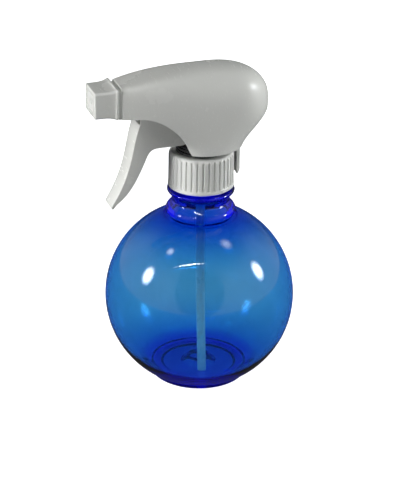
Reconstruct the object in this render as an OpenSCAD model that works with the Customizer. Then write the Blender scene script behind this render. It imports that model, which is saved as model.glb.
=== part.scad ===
// Hand trigger sprayer on a spherical bottle with a screw neck.
// Z is up, the bottle stands on z = 0 with its axis on the Z axis, and it sprays towards -X.
// All sizes are in millimetres.

/* [Bottle] */
// Radius of the spherical body
body_r = 48; // [46:0.5:50]
// Radius of the foot ring
foot_r = 25; // [24:0.5:26]
// Wall of the spherical body, half way up
wall = 0.6; // [0.5:0.05:0.8]

/* [Neck and collar] */
// Root radius of the threaded neck
neck_r = 12.6; // [12.5:0.05:12.7]
// Radius of the collar over its ribs
collar_r = 16.4; // [16:0.1:16.8]
// Number of grip ribs round the collar
rib_count = 36; // [30:2:42]
// Rise of the screw thread in one turn
thread_pitch = 4.23; // [4:0.01:4.4]

/* [Head] */
// Wall of the head's cover
shroud_wall = 1.6; // [1.4:0.1:1.8]
// Height of the spray barrel's axis
barrel_z = 154.6; // [154:0.1:155]
// Bore radius of the pump cylinder
cylinder_r = 4.1; // [4.05:0.01:4.15]
// Outside radius of the dip tube
tube_r = 2.2; // [2.1:0.05:2.25]

/* [Trigger] */
// Outside half width of the trigger at its tip
trigger_tip_w = 5.5; // [5:0.1:5.6]
// Outside half width of the trigger at its pivot
trigger_top_w = 6.6; // [6.5:0.05:6.8]
// Radius of the pivot pins
pivot_r = 1.5; // [1.4:0.05:1.55]

/* [Hidden] */
$fn = 72;

blue = [0.04, 0.16, 0.75, 0.6];
white = [0.90, 0.91, 0.89];
milky = [0.80, 0.86, 0.88, 0.7];
fit = 0.1;                           // radial play of a moving fit
eps = 0.01;

// Bottle levels
body_z = 43;                         // centre of the sphere
shoulder_z = 87.4;                   // where the lower bead meets the sphere
bead_z = 90.7;
bead_r = 17.6;
waist_z = 96.9;
waist_r = 14.1;
flange_z = 101.5;
flange_r = 17;
rim_z = 118.4;
bore_r = 10.9;

// Neck stack, from the rim up
gasket_t = 1.2;
base_z = rim_z + gasket_t;           // underside of the pump's base flange
base_t = 1.3;
base_r = 12.4;
collar_z = 104;
collar_top_z = 122.5;
collar_bore_r = neck_r + 1.35;
lip_r = 10.2;

// Pump
drum_r = 9.5;
drum_top = 127.4;
ring_outer_r = 12.8;
column_r = 4.8;
cylinder_z = 138;
cylinder_x = [-24.5, -6.7];          // open mouth and closed end
barrel_r = 3.4;
barrel_bore_r = 1.6;
spigot_x = [-49.8, -44];
spigot_r = 4.3;
stem_z = 104;                        // lower end of the inlet stem
retainer_r = 3.3;
seat_z = 114;
ball_r = 1.98;
seat_r = 1.5;
valve_z = 146.5;
valve_chamber_r = 2.4;
plug_z = 157;
piston_x = [-29.5, -15.5];           // tip and tail
groove_x = [-5.3, -1.9];             // seal grooves, from the piston's tail
pivot = [-30.5, 150];                // x and z of the trigger's pivot
vent_x = 6.4;

// Nozzle
cap_x = [-57.2, -45.5];
cap_size = [16.6, 13.6];
cap_flange = [19.2, 15.8];
insert_r = 6.2;
band_size = [17.6, 14.2];            // recessed band of the cover, next to the cap

// ---- small geometry helpers -------------------------------------------------------------

// Points of an arc, from angle a0 to a1 in n steps
function arc(c, r, a0, a1, n = 8) =
    [for (i = [0:n]) let (a = a0 + (a1 - a0) * i / n) [c[0] + r * cos(a), c[1] + r * sin(a)]];

// Points of a cubic Bezier curve
function bezier(p, n = 8) =
    [for (i = [0:n]) let (t = i / n, s = 1 - t)
        s * s * s * p[0] + 3 * s * s * t * p[1] + 3 * s * t * t * p[2] + t * t * t * p[3]];

function clamp01(t) = min(1, max(0, t));
function smooth(t) = let (c = clamp01(t)) c * c * (3 - 2 * c);
// The t at which smooth(t) is s
function unsmooth(s) = 0.5 - sin(asin(1 - 2 * clamp01(s)) / 3);

function rounded_rect(w, h, r, n = 4) = concat(
    arc([w / 2 - r, h / 2 - r], r, 0, 90, n), arc([r - w / 2, h / 2 - r], r, 90, 180, n),
    arc([r - w / 2, r - h / 2], r, 180, 270, n), arc([w / 2 - r, r - h / 2], r, 270, 360, n));

// A cylinder along X from x0 to x1 at height z
module rod_x(x0, x1, r, z, y = 0) {
    translate([x0, y, z]) rotate([0, 90, 0]) cylinder(h = x1 - x0, r = r);
}

// A cylinder along Y from y0 to y1
module rod_y(y0, y1, r, x, z) {
    translate([x, y1, z]) rotate([90, 0, 0]) cylinder(h = y1 - y0, r = r);
}

// A prism along X with a rounded rectangular section, centred on height z
module prism_x(x0, x1, size, r, z) {
    translate([x0, 0, z]) rotate([90, 0, 90])
        linear_extrude(x1 - x0) polygon(rounded_rect(size[0], size[1], r));
}

// An outline in X and Z, extruded across Y
module plate_xz(points, half_width) {
    translate([0, half_width, 0]) rotate([90, 0, 0])
        linear_extrude(2 * half_width) polygon(points);
}

// Closed skin over rings of points that all have the same count
module skin(rings) {
    m = len(rings[0]);
    n = len(rings);
    points = [for (ring = rings) each ring];
    sides = [for (i = [0:n - 2]) for (j = [0:m - 1])
        let (k = (j + 1) % m) each [
            [i * m + j, i * m + k, (i + 1) * m + k],
            [i * m + j, (i + 1) * m + k, (i + 1) * m + j]]];
    ends = [[for (j = [m - 1:-1:0]) j], [for (j = [0:m - 1]) (n - 1) * m + j]];
    polyhedron(points, concat(sides, ends), convexity = 10);
}

// A walled loft that is open below as far as ring c and closed all round beyond it.
// outer and inner hold as many rings, and every ring runs from one lower edge to the other.
module walled_skin(outer, inner, c) {
    m = len(outer[0]);
    n = len(outer);
    b = n * m;
    points = concat([for (ring = outer) each ring], [for (ring = inner) each ring]);
    skins = [for (i = [0:n - 2]) for (j = [0:m - 2]) let (p = i * m + j, q = p + m)
        each [[p, p + 1, q + 1], [p, q + 1, q],
              [b + p, b + q + 1, b + p + 1], [b + p, b + q, b + q + 1]]];
    rims = [for (i = [0:c - 1]) let (p = i * m, q = p + m, r = p + m - 1, s = r + m)
        each [[p, q, b + q], [p, b + q, b + p], [s, r, b + r], [s, b + r, b + s]]];
    floors = [for (i = [c:n - 2]) let (p = i * m, q = p + m, r = p + m - 1, s = r + m)
        each [[r, p, q], [r, q, s], [b + r, b + q, b + p], [b + r, b + s, b + q]]];
    rear_rim = let (p = c * m, r = p + m - 1) [[p, r, b + r], [p, b + r, b + p]];
    front_rim = [for (j = [0:m - 2]) each [[j + 1, j, b + j], [j + 1, b + j, b + j + 1]]];
    k = (m - 1) / 2;
    ends = [for (j = [0:k - 1]) let (p = b - m + j, q = b - 1 - j, r = b + p, s = b + q)
        each j < k - 1 ? [[p, p + 1, q - 1], [p, q - 1, q], [r, s - 1, r + 1], [r, s, s - 1]]
            : [[p, p + 1, q], [r, s, r + 1]]];
    polyhedron(points, concat(skins, rims, floors, rear_rim, front_rim, ends), convexity = 10);
}

// A coil of round wire about the Z axis, starting at z0
module coil(r, wire_r, pitch, turns, z0, steps = 16, sides = 6) {
    skin([for (i = [0:turns * steps]) let (a = 360 * i / steps)
        [for (j = [0:sides - 1]) let (b = 360 * j / sides)
            [(r + wire_r * cos(b)) * cos(a), (r + wire_r * cos(b)) * sin(a),
             z0 + pitch * i / steps + wire_r * sin(b)]]]);
}

// A helical ridge: root and tip are its radii, thick its height at the root and at the tip
module thread(root, tip, thick, z0, turns, steps = 30) {
    dir = tip > root ? 1 : -1;
    skin([for (i = [0:turns * steps])
        let (a = 360 * i / steps, z = z0 + thread_pitch * i / steps,
             run = min(1, min(i, turns * steps - i) / 4 + 0.05),
             t = root + (tip - root) * run)
        [for (p = [[root - dir * 0.4, -thick[0]], [t, -thick[1]], [t, thick[1]],
                   [root - dir * 0.4, thick[0]]])
            [p[0] * cos(a), p[0] * sin(a), z + dir * p[1] / 2]]]);
}

// ---- bottle -----------------------------------------------------------------------------

// Angle on the sphere of radius r at height z
function on_sphere(r, z) = asin((z - body_z) / r);
// The blown wall is thicker towards the neck and the foot
function wall_at(z) = wall + 1.9 * exp((z - shoulder_z) / 5) + 1.4 * exp((4 - z) / 7);

module bottle() {
    foot_top = 2.7;
    punt_r = 9;
    punt_z = 7;                      // top of the dome in the base, inside
    ring_r = 19.5;                   // inner edge of the ring that it stands on
    floor_z = 3.6;
    outer = concat(
        [[0, punt_z - 2.2], [punt_r - 4.5, punt_z - 2.2], [punt_r - 0.6, 1.2], [ring_r - 1, 1.2],
         [ring_r, 0]],
        arc([foot_r - 1, 1], 1, -90, 0, 4),
        [[foot_r, foot_top - 0.6]],
        arc([0, body_z], body_r, on_sphere(body_r, foot_top), on_sphere(body_r, shoulder_z), 40),
        [[bead_r + 1.1, shoulder_z + 0.2]],
        arc([bead_r - 2.8, bead_z], 2.8, -60, 62, 8),
        arc([waist_r + 2.6, waist_z], 2.6, 235, 125, 8),
        arc([flange_r - 1.2, flange_z], 1.2, -65, 75, 6),
        [[neck_r + 0.7, flange_z + 1.6], [neck_r, flange_z + 2.2], [neck_r, rim_z - 0.5],
         [neck_r - 0.5, rim_z]]);
    inner = concat(
        [[bore_r, rim_z], [bore_r, waist_z + 4]],
        arc([waist_r + 0.5, waist_z], 2.6, 155, 215, 4),
        arc([bead_r - 5.3, bead_z - 0.4], 2.8, 35, -30, 4),
        [for (i = [0:40]) let (z = shoulder_z - 1.2 - (shoulder_z - 7.4) * i / 40,
                               r = body_r - wall_at(z))
            [sqrt(r * r - pow(z - body_z, 2)), z]],
        [[ring_r + 2.6, floor_z + 0.6], [ring_r, floor_z], [punt_r, floor_z],
         [punt_r - 3.4, punt_z], [0, punt_z]]);
    color(blue) {
        rotate_extrude($fn = 120) polygon(concat(outer, inner));
        thread(neck_r, neck_r + 1.1, [1.5, 0.8], 108.6, 1.4);
    }
}

// ---- collar and gasket ------------------------------------------------------------------

module collar() {
    valley = collar_r - 0.55;
    step = 360 / rib_count;
    ribs = [for (i = [0:rib_count - 1]) each [
        [valley, i * step - 0.42 * step], [collar_r, i * step - 0.26 * step],
        [collar_r, i * step + 0.26 * step], [valley, i * step + 0.42 * step]]];
    color(white) {
        difference() {
            union() {
                translate([0, 0, collar_z + 1]) linear_extrude(collar_top_z - collar_z - 2)
                    polygon([for (p = ribs) [p[0] * cos(p[1]), p[0] * sin(p[1])]]);
                translate([0, 0, collar_z]) cylinder(h = 1.8, r = collar_r + 0.2);
                rotate_extrude() polygon([[0, collar_top_z - 1.6], [valley - 0.1, collar_top_z - 1.6],
                    [valley - 0.1, collar_top_z - 0.8], [valley - 0.8, collar_top_z],
                    [0, collar_top_z]]);
            }
            translate([0, 0, collar_z - 1]) cylinder(h = base_z + base_t + fit - collar_z + 1,
                                                     r = collar_bore_r);
            cylinder(h = 200, r = lip_r);
        }
        thread(collar_bore_r, collar_bore_r - 1, [1.4, 0.8], 107.4, 1.4);
    }
}

module gasket() {
    color([0.25, 0.26, 0.27]) translate([0, 0, rim_z]) difference() {
        cylinder(h = gasket_t, r = base_r);
        translate([0, 0, -1]) cylinder(h = gasket_t + 2, r = 8.5);
    }
}

// ---- pump body --------------------------------------------------------------------------

module engine_body() {
    column_top = 158.4;
    color(white) difference() {
        union() {
            translate([0, 0, stem_z]) cylinder(h = column_top - stem_z, r = column_r);
            translate([0, 0, base_z]) cylinder(h = base_t, r = base_r);
            difference() {
                translate([0, 0, base_z]) cylinder(h = drum_top - base_z, r = drum_r);
                translate([0, 0, base_z + base_t]) cylinder(h = 20, r = drum_r - 1.6);
            }
            // spokes that tie the drum to the column
            for (a = [45:90:315]) rotate([0, 0, a])
                translate([column_r - 1, -0.7, base_z + 0.5]) cube([drum_r - column_r, 1.4, 5.8]);
            rod_x(cylinder_x[0], 0, cylinder_r + 0.7, cylinder_z);
            rod_x(spigot_x[1], 0, barrel_r, barrel_z);
            rod_x(spigot_x[0], spigot_x[1] + 1, spigot_r, barrel_z);
            // web between the barrel and the cylinder
            translate([-24, -1.1, cylinder_z]) cube([24, 2.2, barrel_z - cylinder_z]);
            translate([-33, -1.1, pivot[1]]) cube([12, 2.2, barrel_z - pivot[1]]);
            rod_y(-5, 5, 3, pivot[0], pivot[1]);
            // arms that carry the cover
            for (s = [-1, 1]) translate([1, s * 9.3 - 5, 131]) cube([7, 10, 2.4]);
        }
        // inlet: retainer socket, ball chamber, riser
        translate([0, 0, stem_z - 1]) cylinder(h = seat_z - stem_z + 1, r = retainer_r + 0.02);
        translate([0, 0, seat_z - eps]) cylinder(h = 5.3, r = 2.9);
        translate([0, 0, seat_z]) cylinder(h = valve_z - seat_z, r = seat_r - 0.3);
        translate([0, 0, valve_z]) cylinder(h = 20, r = valve_chamber_r);
        // cylinder bore and its port
        rod_x(cylinder_x[0] - 1, cylinder_x[1], cylinder_r, cylinder_z);
        rod_x(cylinder_x[1] - 1, 0, 0.8, cylinder_z);
        // barrel bore, wider where the spinner core sits
        rod_x(spigot_x[0] - 1, 0, barrel_bore_r, barrel_z);
        rod_x(spigot_x[0] - 1, spigot_x[0] + 4, 2.6, barrel_z);
        rod_y(-8, 8, pivot_r + 0.08, pivot[0], pivot[1]);
        translate([vent_x, 0, base_z - 1]) cylinder(h = base_t + 2, r = 0.85);
    }
}

// Dark ring that holds the collar on the pump from above
module swivel_ring() {
    color([0.05, 0.05, 0.06]) difference() {
        rotate_extrude() polygon([
            [drum_r + 0.02, collar_top_z + 0.4], [ring_outer_r, collar_top_z + 0.4],
            [ring_outer_r, 124.2], [ring_outer_r - 0.8, 124.2], [ring_outer_r - 0.8, 124.9],
            [ring_outer_r, 124.9], [ring_outer_r, 126], [ring_outer_r - 0.8, 126],
            [ring_outer_r - 0.8, 126.6], [ring_outer_r, 126.6], [ring_outer_r, drum_top - 0.4],
            [ring_outer_r - 0.4, drum_top], [drum_r + 0.02, drum_top]]);
        for (a = [30:120:270]) rotate([0, 0, a]) translate([drum_r - 0.6, -1.2, drum_top - 1])
            cube([1.4, 2.4, 2]);
    }
}

module tube_retainer() {
    color(milky) difference() {
        union() {
            translate([0, 0, stem_z - 1.2]) cylinder(h = 1.2, r = column_r);
            translate([0, 0, stem_z - eps]) cylinder(h = seat_z - stem_z, r = retainer_r);
        }
        translate([0, 0, stem_z - 2]) cylinder(h = 10, r = tube_r + 0.02);
        cylinder(h = 200, r = seat_r);
    }
}

module inlet_ball() {
    color("silver") translate([0, 0, seat_z + sqrt(ball_r * ball_r - seat_r * seat_r) + 0.03])
        sphere(r = ball_r);
}

// The tube leaves the retainer straight down and then curves forward and to the right,
// so that its end lies near the wall of the foot
module dip_tube() {
    bore = tube_r - 0.7;
    bend_z = 101;
    end_z = 5;
    reach = 15;                      // how far from the axis the tube ends
    drop = bend_z - end_z;
    bend_r = (drop * drop + reach * reach) / (2 * reach);
    heading = 258;                   // direction of the bend about Z
    color(milky) {
        translate([0, 0, bend_z]) difference() {
            cylinder(h = stem_z + 8 - bend_z, r = tube_r);
            translate([0, 0, -1]) cylinder(h = 20, r = bore);
        }
        rotate([0, 0, heading]) translate([bend_r, 0, bend_z]) rotate([90, 0, 0])
            rotate([0, 0, 180]) rotate_extrude(angle = asin(drop / bend_r), $fn = 180)
                translate([bend_r, 0]) difference() {
                    circle(r = tube_r);
                    circle(r = bore);
                }
    }
}

module outlet_valve() {
    color(milky) {
        translate([0, 0, valve_z + 0.03]) cylinder(h = 1, r = 1.9);
        translate([0, 0, valve_z + 0.5]) cylinder(h = 4.2, r = 0.9);
    }
}

module outlet_spring() {
    color("silver") coil(1.55, 0.2, 0.9, 8, valve_z + 1.28, sides = 6);
}

module outlet_plug() {
    color(white) {
        translate([0, 0, plug_z - 1.8]) cylinder(h = 4, r = valve_chamber_r - 0.02);
        translate([0, 0, 158.4 + eps]) cylinder(h = 1, r = 3.8);
    }
}

module vent_seal() {
    color([0.25, 0.26, 0.27]) translate([vent_x, 0, base_z]) {
        translate([0, 0, -0.6]) cylinder(h = 0.59, r = 1.5);
        translate([0, 0, -0.5]) cylinder(h = base_t + 0.8, r = 0.8);
        translate([0, 0, base_t + eps]) cylinder(h = 0.5, r = 1.2);
    }
}

// ---- cover ------------------------------------------------------------------------------

head_front_x = -45.1;
band_rear_x = -43.6;
head_rear_x = 33.8;
head_mid_z = 147.5;                  // height of the widest outline
head_bottom_z = 125;
head_half_w = 16.2;
head_crown_x = 2;
head_crown = 20.5;                   // rise of the roof over the widest outline
tail_foot = 122;                     // where the rear line would reach its narrowest
tail_rise = 22.5;
tail_bulge = 13.8;
crown_power = 2.3;
edge = 0.5;                          // least half width of a section

// Rear edge of the outline at height z
function rear_x(z) = 20 + tail_bulge * smooth((z - tail_foot) / tail_rise);
// Lowest height of the rear at x
function rear_z(x) = tail_foot + tail_rise * unsmooth((x - 20) / tail_bulge);
// Height of the roof over the widest outline at x; d draws every outline in
function roof(x, d) = x < head_crown_x
    ? head_crown - d - 0.01264 * pow(head_crown_x - x, 1.6)
    : (head_crown - d) * pow(max(0, 1 - pow((x - head_crown_x)
        / (head_rear_x - head_crown_x - d), crown_power)), 1 / crown_power);
// How square the upper half of the section is at x
function squareness(x) = 2.3 + 5 * pow(clamp01((2 - x) / 45), 1.6);
// Half width of the outline at distance x and height z, at or below the widest one
function half_width(x, z, d) =
    let (t = smooth((z - head_bottom_z) / 22.5), c = 2 + 12 * t,
         a = (x < c ? 18 + 53 * t : rear_x(z) - c) - d)
    max(0, head_half_w - d) * sqrt(max(0, 1 - pow((x - c) / a, 2)));

// One section of the head at x, drawn in by d, closed along its lower edge at foot
function head_section(x, d, foot, n = 12) =
    let (w = max(edge, half_width(x, head_mid_z, d)), h = max(edge, roof(x, d)),
         q = 2 / squareness(x),
         upper = [for (i = [0:n]) let (a = 90 * i / n)
             [w * pow(cos(a), q), head_mid_z + h * pow(sin(a), q)]],
         lower = [for (i = [0:n - 1]) let (z = foot + (head_mid_z - foot) * i / n)
             [max(edge, half_width(x, z, d)), z]],
         side = concat(lower, upper))
    concat([for (p = side) [x, -p[0], p[1]]],
           [for (i = [len(side) - 2:-1:0]) [x, side[i][0], side[i][1]]]);

// The head's skin, drawn in by d: open_n steps to the end of the open underside, whose edge
// rises towards the front inside the arch, then rear_n steps to the rear
function head_rings(d, open_n, rear_n) =
    let (end = rear_x(head_bottom_z) - d, rear = head_rear_x - d - 0.03) concat(
        [for (i = [0:open_n]) let (x = head_front_x + (end - head_front_x) * sin(90 * i / open_n))
            head_section(x, d, head_bottom_z + 18 * smooth((-9 - x) / 20))],
        [for (i = [1:rear_n]) let (x = end + (rear - end) * sin(90 * i / rear_n))
            head_section(x, d, rear_z(x + d))]);

// Opening under the barrel that the trigger swings in
function arch_curve() = concat(
    [[-60, 100], [-60, 146.8], [-36, 146.8]],
    bezier([[-36, 146.8], [-24, 147.4], [-14, 136], [-10.6, 128]], 10),
    [[-8.4, 124.4], [-8.4, 100]]);

module shroud() {
    tongue_w = 12;
    tongue_end = 108.5;
    tongue_x = 3.3;                  // axis of the tongue's curve
    color(white) {
        difference() {
            union() {
                walled_skin(head_rings(0, 18, 11), head_rings(shroud_wall, 18, 11), 18);
                prism_x(head_front_x + 0.2, head_front_x + 1.6, [16.4, 13.6], 1, barrel_z);
            }
            plate_xz(arch_curve(), 30);
            rod_x(-50, -40, 6.5, barrel_z);
            // recessed band behind the nozzle cap
            difference() {
                prism_x(head_front_x - 1, band_rear_x, [40, 40], 1, barrel_z);
                prism_x(head_front_x - 2, band_rear_x + 1, band_size, 1.2, barrel_z);
            }
        }
        // tongue behind the collar
        intersection() {
            translate([tongue_x, 0, 0]) rotate([0, 0, -30]) rotate_extrude(angle = 60)
                polygon([[14.5, tongue_end], [15, tongue_end], [16.1, tongue_end + 3.5],
                         [16.1, 127], [14.5, 127]]);
            translate([10, 0, 0]) rotate([90, 0, 90]) linear_extrude(20) polygon(concat(
                [[tongue_w / 2, 127.5]],
                arc([tongue_w / 2 - 3, tongue_end + 3], 3, 0, -90, 5),
                arc([3 - tongue_w / 2, tongue_end + 3], 3, -90, -180, 5),
                [[-tongue_w / 2, 127.5]]));
        }
    }
}

// ---- nozzle -----------------------------------------------------------------------------

// Outline of the cap along X: straight, then flaring to a thin rear flange
function cap_outline(size, flange) =
    let (flare = concat([[cap_x[0] + 0.6, size / 2]],
        bezier([[cap_x[0] + 5, size / 2], [cap_x[1] - 3, size / 2],
                [cap_x[1] - 1.5, flange / 2 - 0.5], [cap_x[1] - 0.9, flange / 2]], 6)),
        side = concat([[cap_x[0], size / 2 - 0.5]], flare, [[cap_x[1], flange / 2]]))
    concat(side, [for (i = [len(side) - 1:-1:0]) [side[i][0], -side[i][1]]]);

module nozzle_cap() {
    color(white) difference() {
        intersection() {
            prism_x(cap_x[0], cap_x[1], cap_flange, 1.5, barrel_z);
            translate([0, 0, barrel_z]) plate_xz(cap_outline(cap_size[1], cap_flange[1]), 12);
            translate([0, 0, barrel_z - 12]) linear_extrude(24)
                polygon(cap_outline(cap_size[0], cap_flange[0]));
        }
        rod_x(cap_x[0] - 1, cap_x[0] + 2, insert_r + 0.02, barrel_z);
        rod_x(spigot_x[0] - 0.6, 0, spigot_r + fit, barrel_z);
        rod_x(cap_x[0], 0, 2.2, barrel_z);
    }
}

module nozzle_insert() {
    color(white) difference() {
        rod_x(cap_x[0] + 0.4, cap_x[0] + 2, insert_r, barrel_z);
        rod_x(cap_x[0], cap_x[0] + 3, 0.35, barrel_z);
        rod_x(cap_x[0] - 1, cap_x[0] + 0.8, 1.4, barrel_z);
    }
}

module nozzle_seal() {
    color([0.25, 0.26, 0.27]) difference() {
        rod_x(spigot_x[0] - 0.6, spigot_x[0] - 0.05, spigot_r, barrel_z);
        rod_x(spigot_x[0] - 2, spigot_x[0] + 1, 2.7, barrel_z);
    }
}

module spinner_core() {
    color(milky) {
        rod_x(spigot_x[0] - 1.6, spigot_x[0] + 3.9, 1.2, barrel_z);
        for (s = [0:3]) translate([spigot_x[0], 0, barrel_z]) rotate([90 * s, 0, 0])
            translate([0, 0, 0.6]) translate([0, -0.5, 0]) cube([3.9, 1, 1.9]);
    }
}

// ---- trigger and piston -----------------------------------------------------------------

// Face that the finger pulls, from the pivot down to the tip
trigger_front = concat(arc(pivot, 3.2, 100, 180, 5),
    bezier([[-33.7, 142], [-38.2, 131], [-36.6, 118], [-47.6, 100.4]], 12));
// Back edge, from the tip up, round the finger hollow and along above the collar
trigger_back = concat(
    arc([-47.4, 99.4], 1.1, 205, 285, 3),
    bezier([[-45.4, 100.6], [-37.6, 106], [-34.2, 115], [-31.2, 121.6]], 8),
    bezier([[-31.2, 121.6], [-29, 127.6], [-28, 128.4], [-23, 128.4]], 5),
    [[-12, 128.4]],
    arc([-12, 130.4], 2, -90, 20, 4),
    [[-16, 141]]);

// A wedge that narrows the trigger from its pivot to its tip, drawn in by inset
module trigger_wedge(inset) {
    translate([-70, 0, 0]) rotate([90, 0, 90]) linear_extrude(80) polygon([
        [inset - trigger_tip_w, 98], [trigger_tip_w - inset, 98],
        [trigger_top_w - inset, 150], [trigger_top_w - inset, 156],
        [inset - trigger_top_w, 156], [inset - trigger_top_w, 150]]);
}

module trigger() {
    side = 1.2;
    face = 1.9;
    color(white) {
        difference() {
            intersection() {
                plate_xz(concat(trigger_front, trigger_back), 9);
                trigger_wedge(0);
            }
            intersection() {
                translate([face, 0, 1.4]) plate_xz(concat([[-32.5, 170], [-35.6, 142]],
                    bezier([[-33.7, 142], [-38.2, 131], [-36.6, 118], [-46, 101]], 12),
                    [[-40, 95], [0, 95], [0, 170]]), 9);
                trigger_wedge(side);
            }
            // the face stops below the barrel; the side walls go on up to the pins
            intersection() {
                translate([-40, -10, 141.4]) cube([40, 20, 20]);
                trigger_wedge(side);
            }
        }
        for (s = [-1, 1]) rod_y(min(s * 2.6, s * 6), max(s * 2.6, s * 6), pivot_r,
                                pivot[0], pivot[1]);
        // pad that presses on the piston
        plate_xz([[-34.2, 134.5], [pivot[0] + 0.9, 134.5], [pivot[0] + 0.9, 141.2],
                  [-33, 141.2]], 2);
    }
}

module piston() {
    color(milky) difference() {
        union() {
            translate([piston_x[0] + 2.5, 0, cylinder_z]) sphere(r = 2.5);
            rod_x(piston_x[0] + 2.5, piston_x[1] - 5.9, 2.5, cylinder_z);
            rod_x(piston_x[1] - 6, piston_x[1], cylinder_r - fit, cylinder_z);
        }
        rod_x(piston_x[1] - 4, piston_x[1] + 1, 3.5, cylinder_z);
        for (x = groove_x) difference() {
            rod_x(piston_x[1] + x, piston_x[1] + x + 1, 5, cylinder_z);
            rod_x(piston_x[1] + x - 1, piston_x[1] + x + 2, 3.75, cylinder_z);
        }
    }
}

// A sealing ring whose groove starts at x from the piston's tail
module piston_ring(x) {
    color([0.25, 0.26, 0.27]) difference() {
        rod_x(piston_x[1] + x + 0.05, piston_x[1] + x + 0.95, cylinder_r - 0.02, cylinder_z);
        rod_x(piston_x[1] + x - 1, piston_x[1] + x + 2, 3.77, cylinder_z);
    }
}

module piston_seal_outer() {
    piston_ring(groove_x[0]);
}

module piston_seal_inner() {
    piston_ring(groove_x[1]);
}

module return_spring() {
    length = cylinder_x[1] - piston_x[1] + 4;
    wire = 0.28;
    color("silver") translate([piston_x[1] - 4, 0, cylinder_z]) rotate([0, 90, 0])
        coil(3, wire, (length - 2 * wire - 0.1) / 6, 6, wire + 0.05);
}

bottle();
collar();
gasket();
engine_body();
swivel_ring();
shroud();
tube_retainer();
inlet_ball();
dip_tube();
outlet_valve();
outlet_spring();
outlet_plug();
vent_seal();
spinner_core();
nozzle_cap();
nozzle_insert();
nozzle_seal();
trigger();
piston();
piston_seal_outer();
piston_seal_inner();
return_spring();
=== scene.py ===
import math

import bmesh
import bpy
from mathutils import Matrix, Vector


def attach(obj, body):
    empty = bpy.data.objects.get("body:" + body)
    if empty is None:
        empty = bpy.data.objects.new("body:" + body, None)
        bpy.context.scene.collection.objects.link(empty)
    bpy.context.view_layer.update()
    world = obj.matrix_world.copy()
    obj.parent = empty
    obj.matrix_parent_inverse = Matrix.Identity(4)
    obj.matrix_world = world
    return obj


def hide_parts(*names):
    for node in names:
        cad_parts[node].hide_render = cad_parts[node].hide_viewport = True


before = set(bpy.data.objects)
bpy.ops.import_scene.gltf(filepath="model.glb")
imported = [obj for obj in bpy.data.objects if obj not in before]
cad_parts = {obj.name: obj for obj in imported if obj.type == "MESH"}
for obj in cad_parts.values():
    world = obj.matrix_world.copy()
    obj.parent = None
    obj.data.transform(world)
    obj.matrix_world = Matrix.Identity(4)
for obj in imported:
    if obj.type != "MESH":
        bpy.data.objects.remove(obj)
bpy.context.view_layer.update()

MM = 0.001
scene = bpy.context.scene


# ---- curves and outlines, in millimetres --------------------------------------------------

def arc(centre, radius, start, end, steps=8):
    """Points on an arc between two angles in degrees."""
    out = []
    for i in range(steps + 1):
        a = math.radians(start + (end - start) * i / steps)
        out.append((centre[0] + radius * math.cos(a), centre[1] + radius * math.sin(a)))
    return out


def bezier(p, steps=24):
    """Points on a cubic curve with four control points."""
    out = []
    for i in range(steps + 1):
        t = i / steps
        s = 1 - t
        w = (s * s * s, 3 * s * s * t, 3 * s * t * t, t * t * t)
        out.append(tuple(sum(w[k] * p[k][c] for k in range(4)) for c in (0, 1)))
    return out


def rounded(points, radius, steps=4, closed=False):
    """Cuts every corner of a line of points with a small curve."""
    out = []
    n = len(points)
    for i, p in enumerate(points):
        if not closed and i in (0, n - 1):
            out.append(p)
            continue
        a, b = Vector(points[i - 1]), Vector(points[(i + 1) % n])
        c = Vector(p)
        ra = min(radius, (a - c).length * 0.45)
        rb = min(radius, (b - c).length * 0.45)
        start, end = c + (a - c).normalized() * ra, c + (b - c).normalized() * rb
        for k in range(steps + 1):
            t = k / steps
            q = start * (1 - t) ** 2 + c * 2 * t * (1 - t) + end * t * t
            out.append((q.x, q.y))
    return out


def clamp01(t):
    return min(1.0, max(0.0, t))


def smooth(t):
    """A ramp from 0 to 1 that is level at both ends."""
    t = clamp01(t)
    return t * t * (3 - 2 * t)


def unsmooth(s):
    """The t for which smooth(t) is s."""
    return 0.5 - math.sin(math.asin(1 - 2 * clamp01(s)) / 3)


# ---- meshes -------------------------------------------------------------------------------

WELD = 1e-7             # metres between points that count as one
BEVEL_SEGMENTS = 3
BEVEL_ANGLE = 38        # degrees over which an edge is rounded


def new_piece(name, verts, faces, material, body, stands_for=(), sharp=32.0,
              bevel=None):
    """A visible piece given in millimetres, on the body that it moves with."""
    finish_piece(solid(name, verts, faces), material, body, stands_for, sharp, bevel)


def solid(name, verts, faces):
    """A plain mesh object given in millimetres."""
    mesh = bpy.data.meshes.new(name)
    mesh.from_pydata([tuple(c * MM for c in v) for v in verts], [], faces)
    obj = bpy.data.objects.new(name, mesh)
    scene.collection.objects.link(obj)
    clean(mesh)
    return obj


def clean(mesh):
    """Welds double points, drops faces without area and turns all faces outward."""
    bm = bmesh.new()
    bm.from_mesh(mesh)
    bmesh.ops.remove_doubles(bm, verts=bm.verts, dist=WELD)
    bmesh.ops.dissolve_degenerate(bm, edges=bm.edges, dist=WELD)
    bmesh.ops.recalc_face_normals(bm, faces=bm.faces)
    bm.to_mesh(mesh)
    bm.free()


def finish_piece(obj, material, body, stands_for, sharp, bevel):
    """Rounds the edges, shades smooth except over sharp ones, and gives material and body."""
    if bevel:
        m = obj.modifiers.new("edges", "BEVEL")
        m.width, m.segments, m.limit_method = bevel * MM, BEVEL_SEGMENTS, "ANGLE"
        m.angle_limit = math.radians(BEVEL_ANGLE)
        m.harden_normals = False
        m.use_clamp_overlap = True
        apply_modifiers(obj)
    for p in obj.data.polygons:
        p.use_smooth = True
    if sharp:
        obj.data.set_sharp_from_angle(angle=math.radians(sharp))
    obj.data.materials.clear()
    obj.data.materials.append(material)
    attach(obj, body)
    if stands_for:
        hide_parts(*stands_for)


def apply_modifiers(obj):
    """Replaces the object's mesh by what its modifiers make of it."""
    graph = bpy.context.evaluated_depsgraph_get()
    mesh = bpy.data.meshes.new_from_object(obj.evaluated_get(graph))
    obj.modifiers.clear()
    obj.data = mesh


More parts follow.
